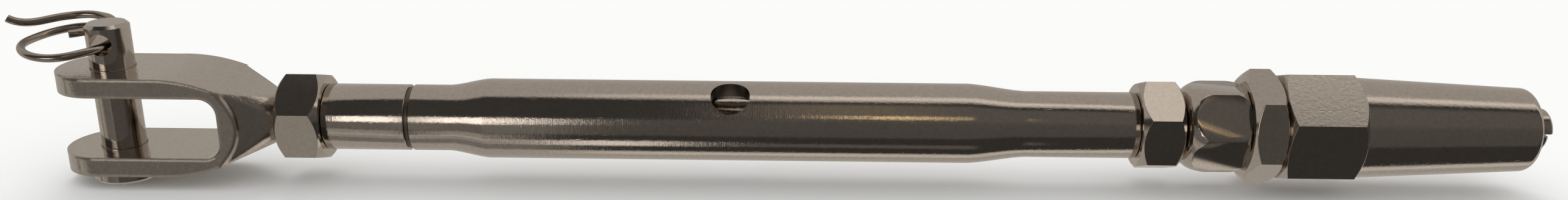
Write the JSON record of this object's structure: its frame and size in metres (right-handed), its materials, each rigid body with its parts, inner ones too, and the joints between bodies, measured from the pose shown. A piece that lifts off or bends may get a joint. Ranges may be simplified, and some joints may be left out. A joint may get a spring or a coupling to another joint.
{
  "type": "turnbuckle",
  "caption": "Closed body rigging turnbuckle with a pinned fork at one end and a wedge jaw wire terminal at the other, with lock nuts.",
  "frame": {"origin": "centre of the clevis pin on the turnbuckle's long axis, midway between the fork's ears", "axes": "+X along the body's axis towards the wire end, +Z along the clevis pin towards its ring, +Y completes a right-handed frame; the object lies on its pin head and its thin lock nut"},
  "size_m": [0.2933, 0.0212, 0.0312],
  "materials": {
    "polished_steel": "polished stainless steel",
    "forged_steel": "forged and tumbled stainless steel",
    "machined_steel": "machined stainless steel",
    "wire_steel": "drawn stainless wire"
  },
  "bodies": {
    "barrel": {"barrel": "polished_steel"},
    "left_lock_nut": {"left_lock_nut": "machined_steel"},
    "fork": {"fork": "forged_steel"},
    "clevis_pin": {"clevis_pin": "machined_steel"},
    "split_ring": {"split_ring": "wire_steel"},
    "right_lock_nut": {"right_lock_nut": "machined_steel"},
    "terminal": {"terminal_stud": "machined_steel", "terminal_lock_nut": "machined_steel", "terminal_sleeve": "polished_steel", "jaw_spring": "wire_steel"},
    "jaws": {"jaw_upper": "machined_steel", "jaw_rear": "machined_steel", "jaw_lower": "machined_steel", "jaw_plunger": "machined_steel"}
  },
  "joints": [
    {"name": "left_nut_travel", "type": "slide", "parent": "barrel", "child": "left_lock_nut", "axis": [-1, 0, 0], "range_m": [0, 0.05]},
    {"name": "fork_screw", "type": "hinge", "parent": "left_lock_nut", "child": "fork", "pos_m": [0.1, 0, 0], "axis": [1, 0, 0], "range_deg": [0, 14400]},
    {"name": "pin_turn", "type": "hinge", "parent": "fork", "child": "clevis_pin", "pos_m": [0, 0, 0], "axis": [0, 0, 1], "continuous": true},
    {"name": "ring_swing", "type": "hinge", "parent": "clevis_pin", "child": "split_ring", "pos_m": [0, 0, 0.0147], "axis": [0, 1, 0], "range_deg": [-13, 180]},
    {"name": "right_nut_travel", "type": "slide", "parent": "barrel", "child": "right_lock_nut", "axis": [1, 0, 0], "range_m": [0, 0.05]},
    {"name": "terminal_screw", "type": "hinge", "parent": "right_lock_nut", "child": "terminal", "pos_m": [0.2, 0, 0], "axis": [-1, 0, 0], "range_deg": [0, 14400]},
    {"name": "jaw_slide", "type": "slide", "parent": "terminal", "child": "jaws", "axis": [-1, 0, 0], "range_m": [0, 0.003], "stiffness_N_per_m": 300, "springref_m": -0.004, "deforming": ["jaw_spring"]}
  ],
  "couplings": [
    {"joint": "fork_screw", "follows": "left_nut_travel", "rad_per_m": 5026.5},
    {"joint": "terminal_screw", "follows": "right_nut_travel", "rad_per_m": 5026.5}
  ]
}
